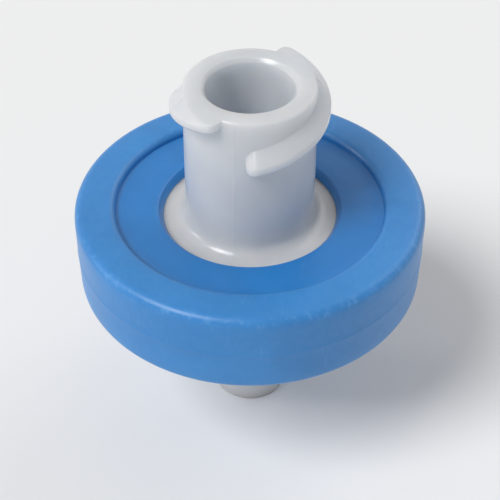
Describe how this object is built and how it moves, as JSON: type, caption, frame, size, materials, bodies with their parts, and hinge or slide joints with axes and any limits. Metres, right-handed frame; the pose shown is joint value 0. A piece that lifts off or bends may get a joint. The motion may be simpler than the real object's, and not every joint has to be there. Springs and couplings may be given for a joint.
{
  "type": "syringe filter",
  "caption": "Small round syringe filter: natural plastic halves with a female Luer lock inlet and a male Luer slip outlet, held by a blue moulded ring round a white membrane.",
  "frame": {"origin": "centre of the outlet nozzle's end face, the part's lowest point", "axes": "+Z along the part's axis, from the outlet nozzle up to the inlet's mouth; +X and +Y square to it"},
  "size_m": [0.0178, 0.0178, 0.02],
  "materials": {
    "housing": "natural translucent polypropylene, satin as moulded",
    "membrane": "white porous membrane, matt",
    "ring": "blue polypropylene, satin as moulded"
  },
  "bodies": {
    "root": {"inlet_housing": "housing", "outlet_housing": "housing", "membrane": "membrane", "overmould_ring": "ring"}
  },
  "joints": []
}
